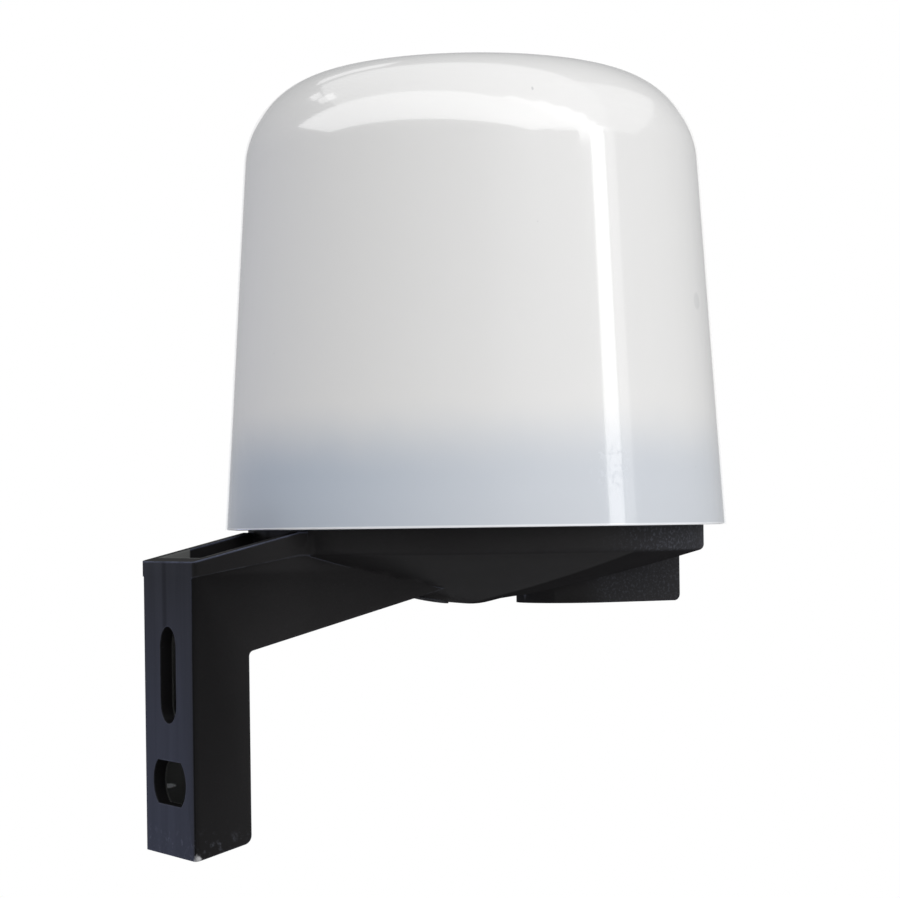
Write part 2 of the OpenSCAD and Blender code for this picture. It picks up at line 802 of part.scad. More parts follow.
module terminal_block() {
    width = 2 * inner_half_w - 2 * block_gap;
    color("#d9d6c8")
        at_dome()
            translate([0, 0, block_z])
                difference() {
                    upright([block_l, width, block_h], [block_x + block_l / 2, 0, 0]);
                    for (y = terminal_spots) {
                        upright([clamp_l + 2 * cell_gap, clamp_w + 2 * cell_gap, block_h],
                            [clamp_x, y, clamp_z]);
                        translate([block_x - over, y, clamp_z + clamp_h / 2])
                            rotate([0, 90, 0]) cylinder(h = block_l / 2, d = wire_entry_d, $fn = hole_fn);
                        upright([tag_t + 2 * cell_gap, tag_w + 2 * cell_gap, block_h],
                            [tag_x, y, clamp_z + clamp_h]);
                        translate([tag_x, y - tag_w / 2 - cell_gap, clamp_z + clamp_h])
                            cube([clamp_x - tag_x, tag_w + 2 * cell_gap, block_h]);
                    }
                }
}

// Brass clamps: a cage for the wire, a threaded roof for the screw and a tag that rises through the board
module terminal_clamps() {
    wall = 0.8;
    color("#c8a24a")
        at_dome()
            for (y = terminal_spots)
                translate([0, 0, block_z + clamp_z]) {
                    difference() {
                        upright([clamp_l, clamp_w, clamp_h], [clamp_x, y, 0]);
                        upright([clamp_l + 2 * over, clamp_w - 2 * wall, clamp_h - wall - clamp_roof],
                            [clamp_x, y, wall]);
                        translate([clamp_x, y, clamp_h - clamp_roof - over])
                            cylinder(h = clamp_roof + 2 * over, d = terminal_screw_d, $fn = hole_fn);
                    }
                    translate([tag_x - tag_t / 2, y - tag_w / 2, clamp_h])
                        cube([clamp_x - clamp_l / 2 - tag_x + tag_t / 2 + wall, tag_w, tag_t]);
                    translate([tag_x - tag_t / 2, y - tag_w / 2, clamp_h])
                        cube([tag_t, tag_w, board_top - block_z - clamp_z - clamp_h + tag_t]);
                }
}

module terminal_screws() {
    head_h = 1.2;
    head_proud = 0.2;
    head_d = terminal_screw_d + 2 * head_proud;
    shank_d = terminal_screw_d - 2 * fit_gap;
    cut_w = 0.5;
    color("#c4c6c8")
        at_dome()
            for (y = terminal_spots)
                translate([clamp_x, y, block_z + clamp_z + clamp_h]) {
                    translate([0, 0, -clamp_roof])
                        cylinder(h = clamp_roof + fit_gap, d = shank_d, $fn = hole_fn);
                    difference() {
                        translate([0, 0, fit_gap]) cylinder(h = head_h, d = head_d, $fn = hole_fn);
                        upright([head_d + over, cut_w, head_h], [0, 0, head_h / 2 + fit_gap]);
                    }
                }
}

base_bracket();
dome_cover();
dome_seal();
inlet_grommet();
circuit_board();
board_screws();
relay();
dropper_capacitor();
smoothing_capacitor();
rectifier_diodes();
zener_diode();
surge_varistor();
resistors();
driver_transistor();
sensor_tube();
light_sensor();
terminal_block();
terminal_clamps();
terminal_screws();
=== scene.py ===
"""Looks of a photocell switch: an opal dome on a black moulded base with its wall bracket.

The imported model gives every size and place. This script revolves a smooth dome, rounds the tip of
the base's bowl, finishes every piece and sets up the studio. Lengths are in metres.
"""
import logging
import math
from dataclasses import dataclass, field
from enum import Enum
from typing import Optional, Union

import bmesh
import bpy
from mathutils import Matrix, Vector


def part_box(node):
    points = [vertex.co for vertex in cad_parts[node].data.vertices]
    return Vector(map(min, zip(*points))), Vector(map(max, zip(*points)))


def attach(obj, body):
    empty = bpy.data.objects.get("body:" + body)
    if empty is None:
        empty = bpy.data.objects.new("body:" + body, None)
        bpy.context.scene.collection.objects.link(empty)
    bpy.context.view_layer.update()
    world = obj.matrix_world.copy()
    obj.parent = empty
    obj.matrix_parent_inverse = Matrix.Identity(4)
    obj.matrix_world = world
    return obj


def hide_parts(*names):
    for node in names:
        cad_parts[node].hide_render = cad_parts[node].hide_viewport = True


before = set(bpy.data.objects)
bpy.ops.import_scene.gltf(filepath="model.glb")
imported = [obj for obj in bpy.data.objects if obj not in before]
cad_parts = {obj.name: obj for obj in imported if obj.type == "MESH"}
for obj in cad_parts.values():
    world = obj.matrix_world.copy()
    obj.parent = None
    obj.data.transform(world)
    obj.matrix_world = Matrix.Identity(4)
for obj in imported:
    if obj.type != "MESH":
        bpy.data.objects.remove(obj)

LOG = logging.getLogger("photocell_switch")
MM = 0.001
BODY = "root"
IMAGE_SIZE = (900, 898)
NOISE_MIDDLE = 0.5
UP = Vector((0.0, 0.0, 1.0))
Colour = tuple[float, float, float]
Point = tuple[float, float, float]
Range = tuple[float, float]
BLACK: Colour = (0.0, 0.0, 0.0)
WHITE: Colour = (1.0, 1.0, 1.0)


class Wire:
    """One output of a node, with the operators that the shader maths needs."""

    def __init__(self, graph: "Graph", socket: bpy.types.NodeSocket) -> None:
        """Keeps the graph that the output belongs to, and the output itself."""
        self.graph = graph
        self.socket = socket

    def __add__(self, other: "Value") -> "Wire":
        """Sum of two values."""
        return self.graph.math("ADD", self, other)

    def __radd__(self, other: "Value") -> "Wire":
        """Sum with a number on the left."""
        return self.graph.math("ADD", other, self)

    def __sub__(self, other: "Value") -> "Wire":
        """Difference of two values."""
        return self.graph.math("SUBTRACT", self, other)

    def __rsub__(self, other: "Value") -> "Wire":
        """Difference with a number on the left."""
        return self.graph.math("SUBTRACT", other, self)

    def __mul__(self, other: "Value") -> "Wire":
        """Product of two values."""
        return self.graph.math("MULTIPLY", self, other)

    def __rmul__(self, other: "Value") -> "Wire":
        """Product with a number on the left."""
        return self.graph.math("MULTIPLY", other, self)

    def __truediv__(self, other: "Value") -> "Wire":
        """Quotient of two values."""
        return self.graph.math("DIVIDE", self, other)

    def __pow__(self, other: "Value") -> "Wire":
        """First value raised to the second."""
        return self.graph.math("POWER", self, other)

    def at_least(self, other: "Value") -> "Wire":
        """Larger of two values."""
        return self.graph.math("MAXIMUM", self, other)

    def unsigned(self) -> "Wire":
        """Value without its sign."""
        return self.graph.math("ABSOLUTE", self, 0.0)


Value = Union[Wire, float]


class Made:
    """A node that the graph has made, whose outputs are read by name or number."""

    def __init__(self, graph: "Graph", node: bpy.types.Node) -> None:
        """Keeps the graph and the node."""
        self.graph = graph
        self.node = node

    def __getitem__(self, key: Union[str, int]) -> Wire:
        """Output of that name or number."""
        return Wire(self.graph, self.node.outputs[key])


class Graph:
    """Node tree of a material or of a geometry modifier, filled through one method."""

    def __init__(self, tree: bpy.types.NodeTree) -> None:
        """Keeps the tree to be filled."""
        self.tree = tree

    def node(self, kind: str, settings: Optional[dict] = None, inputs: Optional[dict] = None) -> Made:
        """Makes a node, sets its options first and then feeds its sockets.

        Args:
            kind: Type name of the node.
            settings: Options of the node.
            inputs: Wires or constants by socket name or number.

        Returns:
            The node, ready to be read.
        """
        made = self.tree.nodes.new(kind)
        for name, value in (settings or {}).items():
            setattr(made, name, value)
        for key, value in (inputs or {}).items():
            if isinstance(value, Wire):
                self.tree.links.new(value.socket, made.inputs[key])
            else:
                made.inputs[key].default_value = value
        return Made(self, made)

    def math(self, operation: str, first: Value, second: Value) -> Wire:
        """Result of a Math node on two values."""
        return self.node("ShaderNodeMath", {"operation": operation}, {0: first, 1: second})[0]

    def smooth(self, value: Wire, low: float, high: float) -> Wire:
        """Share from 0 at low to 1 at high, with soft ends.

        Args:
            value: What is measured.
            low: Value at which the share is 0.
            high: Value at which the share is 1.

        Returns:
            The share.
        """
        settings = {"interpolation_type": "SMOOTHSTEP"}
        return self.node("ShaderNodeMapRange", settings,
                         {"Value": value, "From Min": low, "From Max": high})["Result"]

    def mix(self, share: Value, first: Union[Wire, Colour], second: Union[Wire, Colour]) -> Wire:
        """Colour between two colours.

        Args:
            share: Share of the second colour.
            first: Colour at share 0.
            second: Colour at share 1.

        Returns:
            The mixed colour.
        """
        ends = [c if isinstance(c, Wire) else (*c, 1.0) for c in (first, second)]
        return self.node("ShaderNodeMix", {"data_type": "RGBA"}, {0: share, 6: ends[0], 7: ends[1]})[2]

    def noise(self, place: Wire, size: float, detail: float, roughness: float) -> Wire:
        """Noise from 0 to 1 whose blotches have about the given size.

        Args:
            place: Coordinates in metres.
            size: Size of a blotch in metres.
            detail: Number of finer layers.
            roughness: Strength of the finer layers.

        Returns:
            The noise value.
        """
        return self.node("ShaderNodeTexNoise", None,
                         {"Vector": place, "Scale": 1.0 / size, "Detail": detail,
                          "Roughness": roughness})["Fac"]

    def distance(self, place: Wire, point: Point) -> Wire:
        """Distance from a point, in metres."""
        return self.node("ShaderNodeVectorMath", {"operation": "DISTANCE"},
                         {0: place, 1: point})["Value"]

    def split(self, vector: Wire) -> Made:
        """Node with the X, Y and Z of a vector."""
        return self.node("ShaderNodeSeparateXYZ", None, {0: vector})

    def radius(self, place: Made, axis_x: float) -> Wire:
        """Level distance from an upright axis in the middle plane."""
        return ((place["X"] - axis_x) ** 2.0 + place["Y"] ** 2.0) ** 0.5


class Shader(Graph):
    """Material whose one Principled shader is fed by wires."""

    def __init__(self, name: str) -> None:
        """Makes the material and keeps its shader and its object coordinates.

        Args:
            name: Name of the material.
        """
        self.material = bpy.data.materials.new(name)
        self.material.use_nodes = True
        super().__init__(self.material.node_tree)
        self.surface = self.tree.nodes["Principled BSDF"]
        self.place = self.node("ShaderNodeTexCoord")["Object"]

    def set(self, **values: Union[float, tuple]) -> None:
        """Sets constants on the shader's own sockets; underscores stand for spaces.

        Args:
            values: Constant by socket name.
        """
        for name, value in values.items():
            self.surface.inputs[name.replace("_", " ")].default_value = value

    def feed(self, socket: str, wire: Wire) -> None:
        """Links a wire to one of the shader's sockets."""
        self.tree.links.new(wire.socket, self.surface.inputs[socket])

    def bump(self, height: Wire, depth: float, normal: Optional[Wire] = None) -> None:
        """Feeds a bump to the shader's normal.

        Args:
            height: Height from 0 to 1.
            depth: Height of 1 in metres.
            normal: Normal that the bump starts from.
        """
        inputs = {"Height": height, "Distance": depth}
        if normal is not None:
            inputs["Normal"] = normal
        self.feed("Normal", self.node("ShaderNodeBump", None, inputs)["Normal"])

    def round_spot(self, point: Point, edge: Range) -> Wire:
        """Share of a round spot, 1 within its inner radius and 0 beyond its outer one."""
        return 1 - self.smooth(self.distance(self.place, point), *edge)


@dataclass(frozen=True)
class Pattern:
    """Noise with blotches of a given size, and the range of it that shows."""

    size: float
    detail: float = 2.0
    roughness: float = 0.5
    shown: Range = (0.0, 1.0)

    def level(self, shader: Shader, place: Optional[Wire] = None) -> Wire:
        """Noise from 0 to 1.

        Args:
            shader: Shader of the material.
            place: Coordinates, if not the object's own.

        Returns:
            The noise value.
        """
        where = shader.place if place is None else place
        return shader.noise(where, self.size, self.detail, self.roughness)

    def share(self, shader: Shader) -> Wire:
        """Share from 0 to 1 over the range that shows."""
        return shader.smooth(self.level(shader), *self.shown)


class Surface(Enum):
    """Kinds of plain surface, each with its specular level, metal share and grain depth."""

    MOULDED = (0.5, 0.0, 0.02 * MM)
    LACQUERED = (0.6, 0.0, 0.006 * MM)
    RUBBER = (0.25, 0.0, 0.03 * MM)
    METAL = (0.5, 1.0, 0.008 * MM)

    @property
    def specular(self) -> float:
        """Specular level."""
        return self.value[0]

    @property
    def metal(self) -> float:
        """Metal share."""
        return self.value[1]

    @property
    def grain_depth(self) -> float:
        """Depth of the grain."""
        return self.value[2]


@dataclass(frozen=True)
class PlainFinish:
    """Finish of the parts under the dome and of the floor: a drifting colour with a fine grain."""

    name: str
    surface: Surface
    colour: Colour
    roughness: float
    grain: float = 0.25 * MM
    drift: float = 0.12
    roughness_drift: float = 0.16
    cloud_scale: float = 12.0
    cloud_detail: float = 3.0

    def material(self) -> bpy.types.Material:
        """Builds the material.

        Returns:
            The finished material.
        """
        shader = Shader(self.name)
        cloud = Pattern(self.cloud_scale * self.grain, self.cloud_detail).level(shader)
        fine = Pattern(self.grain).level(shader)
        dark = tuple(c * (1 - self.drift) for c in self.colour)
        light = tuple(min(1.0, c * (1 + self.drift)) for c in self.colour)
        shader.feed("Base Color", shader.mix(cloud, dark, light))
        shader.feed("Roughness", self.roughness + (fine - NOISE_MIDDLE) * self.roughness_drift)
        shader.set(Metallic=self.surface.metal, Specular_IOR_Level=self.surface.specular)
        shader.bump(fine, self.surface.grain_depth)
        return shader.material


@dataclass(frozen=True)
class OpalFinish:
    """Glossy opal plastic with a painted bluish shade above the rim, where the dark collar lies behind it,
    deepest on the wall side.
    """

    rim_z: float
    axis_x: float
    name: str = "opal_dome"
    colour: Colour = (0.805, 0.799, 0.789)
    cloud: Pattern = Pattern(25 * MM, 3.0)
    cloud_dark: float = 0.985
    # Painted shade: bluish darker tint where the collar lies behind the dome, deeper on the wall side.
    collar_shade: Colour = (0.545, 0.63, 0.76)
    shade_height: Range = (7.0 * MM, 18.5 * MM)
    shade_drift: Pattern = Pattern(9 * MM)
    shade_drift_depth: float = 2.0 * MM
    shade_even: float = 0.53
    shade_wall_side: float = 0.42
    shade_power: float = 2.2
    axis_clear: float = 0.1 * MM
    # Painted highlight: lighter colour along the lowest edge of the rim.
    rim_edge: Colour = (0.88, 0.9, 0.93)
    rim_highlight_height: Range = (0.25 * MM, 0.4 * MM)
    speck: Colour = (0.42, 0.42, 0.44)
    specks: Pattern = Pattern(1.1 * MM, 1.0, shown=(0.83, 0.86))
    speck_share: float = 0.5
    smudge: Point = (71.2 * MM, -29.03 * MM, 62.13 * MM)
    smudge_edge: Range = (0.84 * MM, 1.54 * MM)
    smudge_share: float = 0.25
    scuff: Point = (50.75 * MM, -37.2 * MM, 38.2 * MM)
    scuff_edge: Range = (1.8 * MM, 4.5 * MM)
    scuff_share: float = 0.8
    scratches: Pattern = Pattern(0.9 * MM, 3.0, 0.7, (0.5, 0.62))
    roughness: float = 0.2
    roughness_drift: float = 0.03
    waves: Pattern = Pattern(6 * MM, 1.0)
    wave_depth: float = 0.012 * MM
    ior: float = 1.49
    specular: float = 0.75
    coat_ior: float = 1.9
    coat_roughness: float = 0.06

    def collar_shade_share(self, shader: Shader, place: Made) -> Wire:
        """Share of the painted shade of the collar behind the dome, most on the side of the wall.

        Args:
            shader: Shader of the material.
            place: Coordinates, split.

        Returns:
            The share.
        """
        radius = shader.radius(place, self.axis_x)
        wall_side = ((self.axis_x - place["X"]) / (radius + self.axis_clear)).at_least(0.0)
        drift = (self.shade_drift.level(shader) - NOISE_MIDDLE) * self.shade_drift_depth
        shade_band = 1 - shader.smooth(place["Z"] - self.rim_z + drift, *self.shade_height)
        return shade_band * (self.shade_even + self.shade_wall_side * wall_side ** self.shade_power)

    def material(self) -> bpy.types.Material:
        """Builds the material.

        Returns:
            The finished material.
        """
        shader = Shader(self.name)
        place = shader.split(shader.place)
        cloud = self.cloud.level(shader)
        dark = tuple(self.cloud_dark * c for c in self.colour)
        # Painted shade of the collar behind the dome.
        shaded = tuple(c * b for c, b in zip(self.colour, self.collar_shade))
        body = shader.mix(self.collar_shade_share(shader, place), shader.mix(cloud, dark, self.colour), shaded)
        smudge = shader.round_spot(self.smudge, self.smudge_edge) * self.smudge_share
        dirt = (self.specks.share(shader) * self.speck_share).at_least(smudge)
        body = shader.mix(dirt, body, self.speck)
        # Painted highlight along the rim's lowest edge.
        edge = 1 - shader.smooth(place["Z"] - self.rim_z, *self.rim_highlight_height)
        shader.feed("Base Color", shader.mix(edge, body, self.rim_edge))
        shader.feed("Roughness", self.roughness + (cloud - NOISE_MIDDLE) * self.roughness_drift)
        scuff = shader.round_spot(self.scuff, self.scuff_edge) * self.scratches.share(shader)
        shader.feed("Coat Weight", 1 - scuff * self.scuff_share)
        shader.set(IOR=self.ior, Specular_IOR_Level=self.specular, Coat_IOR=self.coat_ior,
                   Coat_Roughness=self.coat_roughness)
        shader.bump(self.waves.level(shader), self.wave_depth)
        return shader.material


@dataclass(frozen=True)
class BlackMouldingFinish:
    """Half-gloss black plastic: duller limb, grained round part, rubbed edges and a chip that also carry
    painted highlights, further painted highlights on top edges, on the side facing right and in the hole,
    and painted light inside the limb.

    In the names of pairs, "turn" stands for a range of a face's direction or of its change at a
    rounded edge, "facing" for a level direction, and "mix" for an even share and the share that a
    pattern adds to it.
    """

    foot_corner: Point
    axis_x: float
    name: str = "black_moulding"
    colour: Colour = (0.0108, 0.0104, 0.011)
    round_colour: Colour = (0.019, 0.0183, 0.019)
    round_reach: Range = (34 * MM, 50 * MM)
    cloud: Pattern = Pattern(11 * MM, 3.0)
    cloud_share: float = 0.3
    # Lighter colour of rubbed edges, specks and scuffs, used also for painted highlights on edges and on
    # the side facing right.
    wear_and_highlight: Colour = (0.07, 0.074, 0.09)
    edge_highlight_turn: Range = (0.03, 0.2)
    edge_highlight_share: float = 0.75
    patches: Pattern = Pattern(5 * MM, 4.0, 0.65, (0.3, 0.65))
    # Painted highlight: sparkle of grazing light on faces beyond the axis that turn to the right.
    lit_side_reach: Range = (-4 * MM, 14 * MM)
    lit_side_facing: tuple[float, float] = (0.86, -0.5)
    lit_side_turn: Range = (0.1, 1.0)
    lit_side_sparkle: Pattern = Pattern(0.45 * MM, 2.0, 0.7, (0.5, 0.66))
    lit_side_mix: tuple[float, float] = (0.2, 0.6)
    specks: Pattern = Pattern(0.5 * MM, 1.0, shown=(0.79, 0.84))
    speck_share: float = 0.5
    foot_height: Range = (1.5 * MM, 5.0 * MM)
    scuffs: Pattern = Pattern(1.1 * MM, 4.0, 0.7, (0.52, 0.72))
    scuff_share: float = 0.5
    # Painted highlight: bluish colour on the upward-rounded top edges of the arm.
    top_edge_highlight: Colour = (0.12, 0.135, 0.2)
    top_edge_turn: Range = (0.08, 0.35)
    top_edge_height: Range = (15 * MM, 17 * MM)
    top_edge_mix: tuple[float, float] = (0.45, 0.4)
    # Painted light: pale grey on the walls inside the hollow limb.
    painted_inside_light: Colour = (0.14, 0.143, 0.14)
    plate: float = 2.0 * MM
    limb_inside: float = 6.6 * MM
    half_inside: float = 7.2 * MM
    soft: float = 0.3 * MM
    floor_slope: float = math.tan(math.radians(14.4))
    floor_height: Range = (0.6 * MM, 1.2 * MM)
    spot_noise: Pattern = Pattern(0.7 * MM, 3.0)
    spot_edge: Range = (0.9, 1.3)
    # Chip and painted highlight: light grey spot at the limb's bottom near corner.
    chip_and_glint: Colour = (0.42, 0.42, 0.43)
    chip_glint_size: float = 1.3 * MM
    # Painted glint: pale spot on the far cheek inside the lower hole.
    glint_colour: Colour = (0.9, 0.92, 0.95)
    painted_glint: Point = (3.2 * MM, 7.2 * MM, -6.9 * MM)
    glint_size: float = 1.4 * MM
    glint_flat: float = 2.6
    gloss: float = 0.15
    wall_gloss: float = 0.3
    wall_turn: Range = (0.6, 0.95)
    streaks: Pattern = Pattern(2.2 * MM)
    streak_stretch: float = 0.06
    streak_mix: tuple[float, float] = (0.75, 0.5)
    knit: float = 1.0 * MM
    knit_edge: Range = (0.2 * MM, 1.3 * MM)
    knit_height: Range = (13 * MM, 15 * MM)
    knit_share: float = 0.35
    under_gloss: float = 0.12
    under_turn: Range = (0.4, 0.9)
    under_facing: tuple[float, float] = (0.9646, 0.2639)
    under_edge: Range = (-3.5 * MM, -2.0 * MM)
    ior: float = 1.5
    roughness: float = 0.6
    coat_roughness: float = 0.4
    grain: Pattern = Pattern(0.32 * MM, 2.0, 0.6)
    grain_depth: float = 0.03 * MM
    edge: float = 0.45 * MM
    edge_samples: int = 6

    def inside(self, shader: Shader, place: Made) -> Wire:
        """Share of painted light, a pale grey on the walls inside the hollow limb.

        Args:
            shader: Shader of the material.
            place: Coordinates, split.

        Returns:
            The share, 1 inside the limb.
        """
        across = place["Y"].unsigned()
        behind_plate = shader.smooth(place["X"], self.plate - self.soft, self.plate)
        within = 1 - shader.smooth(place["X"], self.limb_inside, self.limb_inside + self.soft)
        between = 1 - shader.smooth(across, self.half_inside, self.half_inside + self.soft)
        over_foot = place["Z"] - self.foot_corner[2] - place["X"] * self.floor_slope
        return behind_plate * within * between * shader.smooth(over_foot, *self.floor_height)

    def spot(self, shader: Shader, point: Point, size: float, flat: float = 1.0) -> Wire:
        """Ragged spot round a point.

        Args:
            shader: Shader of the material.
            point: Middle of the spot.
            size: About its radius.
            flat: How many times lower than wide it is.

        Returns:
            The share, 1 in the spot.
        """
        ragged = self.spot_noise.level(shader) * size
        squeezed = shader.node("ShaderNodeVectorMath", {"operation": "MULTIPLY"},
                               {0: shader.place, 1: (1.0, 1.0, flat)})["Vector"]
        away = shader.distance(squeezed, (point[0], point[1], point[2] * flat))
        inner, outer = self.spot_edge
        return 1 - shader.smooth(away + ragged, inner * size, outer * size)

    def body(self, shader: Shader, place: Made, facing: Made, edge_wear_highlight: Wire) -> Wire:
        """Colour of the moulding with its grain, specks, scuffs, rubbed edges lightened also as a painted
        highlight, and a painted grazing-light sparkle on the side facing right.

        Args:
            shader: Shader of the material.
            place: Coordinates, split.
            facing: Direction of the face, split.
            edge_wear_highlight: Share of rubbed edges, which also carry a painted highlight.

        Returns:
            The colour.
        """
        beyond_round = shader.smooth(shader.radius(place, self.axis_x), *self.round_reach)
        plain = shader.mix(beyond_round, self.round_colour, self.colour)
        plain = shader.mix(self.cloud.level(shader) * self.cloud_share, plain, BLACK)
        # Painted highlight: grazing-light sparkle on faces turned to the right.
        outer = shader.smooth(place["X"] - self.axis_x, *self.lit_side_reach)
        outward = facing["X"] * self.lit_side_facing[0] + facing["Y"] * self.lit_side_facing[1]
        outer = outer * shader.smooth(outward, *self.lit_side_turn)
        even, grained = self.lit_side_mix
        plain = shader.mix(outer * (even + self.lit_side_sparkle.share(shader) * grained), plain, self.wear_and_highlight)
        foot = 1 - shader.smooth(place["Z"] - self.foot_corner[2], *self.foot_height)
        scuffs = self.scuffs.share(shader) * foot * self.scuff_share
        marks = (edge_wear_highlight * self.edge_highlight_share).at_least(self.specks.share(shader) * self.speck_share)
        return shader.mix(marks.at_least(scuffs), plain, self.wear_and_highlight)

    def gloss_share(self, shader: Shader, place: Made, facing: Made) -> Wire:
        """Share of gloss: most on the wall face beside its knit line, least under the bowl's outer half.

        Args:
            shader: Shader of the material.
            place: Coordinates, split.
            facing: Direction of the face, split.

        Returns:
            The share.
        """
        below = shader.smooth(0.0 - facing["Z"], *self.under_turn)
        to_wall = shader.smooth(0.0 - facing["X"], *self.wall_turn)
        beyond = (place["X"] - self.axis_x) * self.under_facing[0] + place["Y"] * self.under_facing[1]
        inner_half = 1 - shader.smooth(beyond, *self.under_edge)
        upright = shader.node("ShaderNodeCombineXYZ", None,
                              {"Y": place["Y"], "Z": place["Z"] * self.streak_stretch})["Vector"]
        even, streaked = self.streak_mix
        streaks = even + self.streaks.level(shader, upright) * streaked
        on_line = 1 - shader.smooth((place["Y"] - self.knit).unsigned(), *self.knit_edge)
        dulled = shader.smooth(place["Z"], *self.knit_height) * on_line * self.knit_share
        wall = self.wall_gloss * streaks * (1 - dulled) - self.gloss
        return self.gloss + to_wall * wall + below * (inner_half * self.under_gloss - self.gloss)

    def material(self) -> bpy.types.Material:
        """Builds the material.

        Returns:
            The finished material.
        """
        shader = Shader(self.name)
        round_edge = shader.node("ShaderNodeBevel", {"samples": self.edge_samples},
                                 {"Radius": self.edge})["Normal"]
        true_edge = shader.node("ShaderNodeNewGeometry")["Normal"]
        along = shader.node("ShaderNodeVectorMath", {"operation": "DOT_PRODUCT"},
                            {0: round_edge, 1: true_edge})["Value"]
        place, facing, rounded = (shader.split(v) for v in (shader.place, true_edge, round_edge))
        patches = self.patches.share(shader)
        # Rubbed edges, lightened also as a painted highlight.
        edge_wear_highlight = shader.smooth(1 - along, *self.edge_highlight_turn) * patches
        body = self.body(shader, place, facing, edge_wear_highlight)
        # Painted highlight on the top edges.
        top = shader.smooth(rounded["Z"] - facing["Z"], *self.top_edge_turn)
        top = top * shader.smooth(place["Z"], *self.top_edge_height)
        even, patchy = self.top_edge_mix
        body = shader.mix(top * (even + patches * patchy), body, self.top_edge_highlight)
        # Painted light inside the limb.
        body = shader.mix(self.inside(shader, place), body, self.painted_inside_light)
        # Chip at the foot's near corner, which also carries its painted highlight.
        body = shader.mix(self.spot(shader, self.foot_corner, self.chip_glint_size), body, self.chip_and_glint)
        # Painted glint inside the lower hole.
        painted_glint = self.spot(shader, self.painted_glint, self.glint_size, self.glint_flat)
        shader.feed("Base Color", shader.mix(painted_glint, body, self.glint_colour))
        shader.feed("Coat Weight", self.gloss_share(shader, place, facing))
        shader.set(IOR=self.ior, Specular_IOR_Level=0.0, Roughness=self.roughness,
                   Coat_Roughness=self.coat_roughness)
        shader.bump(self.grain.level(shader), self.grain_depth, round_edge)
        return shader.material


class Revolve:
    """Geometry tree that turns a profile line about an upright axis into a smooth skin.

    The profile is swept along a circle, so its radii are given from that circle's radius.
    """

    circle: float = 1.0
    merge: float = 0.002 * MM

    def __init__(self) -> None:
        """Builds the tree with its named inputs."""
        self.tree = bpy.data.node_groups.new("revolve_profile", "GeometryNodeTree")
        face = self.tree.interface
        for name, kind in (("Profile", "NodeSocketGeometry"), ("Axis X", "NodeSocketFloat"),
                           ("Segments", "NodeSocketInt"), ("Finish", "NodeSocketMaterial")):
            face.new_socket(name, in_out="INPUT", socket_type=kind)
        face.new_socket("Skin", in_out="OUTPUT", socket_type="NodeSocketGeometry")
        self.fill(Graph(self.tree))

    def fill(self, graph: Graph) -> None:
        """Sweeps the profile along a circle round the axis and closes its poles.

        Args:
            graph: Graph of the tree.
        """
        given = graph.node("NodeGroupInput")
        circle = graph.node("GeometryNodeCurvePrimitiveCircle", None,
                            {"Resolution": given["Segments"], "Radius": self.circle})["Curve"]
        line = graph.node("GeometryNodeMeshToCurve", None, {"Mesh": given["Profile"]})["Curve"]
        skin = graph.node("GeometryNodeCurveToMesh", None, {"Curve": circle, "Profile Curve": line})
        there = graph.node("ShaderNodeCombineXYZ", None, {"X": given["Axis X"]})["Vector"]
        moved = graph.node("GeometryNodeTransform", None,
                           {"Geometry": skin["Mesh"], "Translation": there})["Geometry"]
        closed = graph.node("GeometryNodeMergeByDistance", None,
                            {"Geometry": moved, "Distance": self.merge})["Geometry"]
        smooth = graph.node("GeometryNodeSetShadeSmooth", None, {"Geometry": closed})["Geometry"]
        real = graph.node("GeometryNodeRealizeInstances", None, {"Geometry": smooth})["Geometry"]
        done = graph.node("GeometryNodeSetMaterial", None,
                          {"Geometry": real, "Material": given["Finish"]})["Geometry"]
        graph.node("NodeGroupOutput", None, {"Skin": done})

    def identifier(self, name: str) -> str:
        """Identifier of a named input."""
        return next(i.identifier for i in self.tree.interface.items_tree
                    if i.name == name and i.in_out == "INPUT")

    def skin(self, name: str, profile: list[tuple[float, float]], axis_x: float,
             segments: int, finish: bpy.types.Material) -> bpy.types.Object:
        """Revolves a closed profile into a plain mesh object.

        Args:
            name: Name of the new piece.
            profile: Closed line of (radius, height) points.
            axis_x: Place of the upright axis along X.
            segments: Number of steps round the axis.
            finish: Material of the skin.

        Returns:
            The piece, at the origin with its place in its mesh.
        """
        count = len(profile)
        line = bpy.data.meshes.new(name + "_profile")
        line.from_pydata([(r - self.circle, -z, 0.0) for r, z in profile],
                         [(i, (i + 1) % count) for i in range(count)], [])
        holder = bpy.data.objects.new(name + "_profile", line)
        bpy.context.scene.collection.objects.link(holder)
        modifier = holder.modifiers.new("revolve", "NODES")
        modifier.node_group = self.tree
        modifier[self.identifier("Axis X")] = axis_x
        modifier[self.identifier("Segments")] = segments
        modifier[self.identifier("Finish")] = finish
        ready = holder.evaluated_get(bpy.context.evaluated_depsgraph_get())
        mesh = bpy.data.meshes.new_from_object(ready)
        holder.modifiers.remove(modifier)
        bpy.data.objects.remove(holder)
        mesh.name = name
        outward(mesh)
        piece = bpy.data.objects.new(name, mesh)
        bpy.context.scene.collection.objects.link(piece)
        return piece


def outward(mesh: bpy.types.Mesh) -> None:
    """Turns the faces of a closed mesh outwards.

    Args:
        mesh: Mesh whose doubles are merged already.
    """
    work = bmesh.new()
    work.from_mesh(mesh)
    bmesh.ops.recalc_face_normals(work, faces=work.faces)
    work.to_mesh(mesh)
    work.free()


def join_piece(piece: bpy.types.Object, slot: str, *nodes: str) -> None:
    """Hands a finished piece to the frame.

    Args:
        piece: Piece at the origin.
        slot: Material slot of the record; not used.
        nodes: CAD nodes that it stands for.
    """
    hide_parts(*nodes)
    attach(piece, BODY)
    LOG.info("%s: %d faces in place of %s", piece.name, len(piece.data.polygons), ", ".join(nodes))


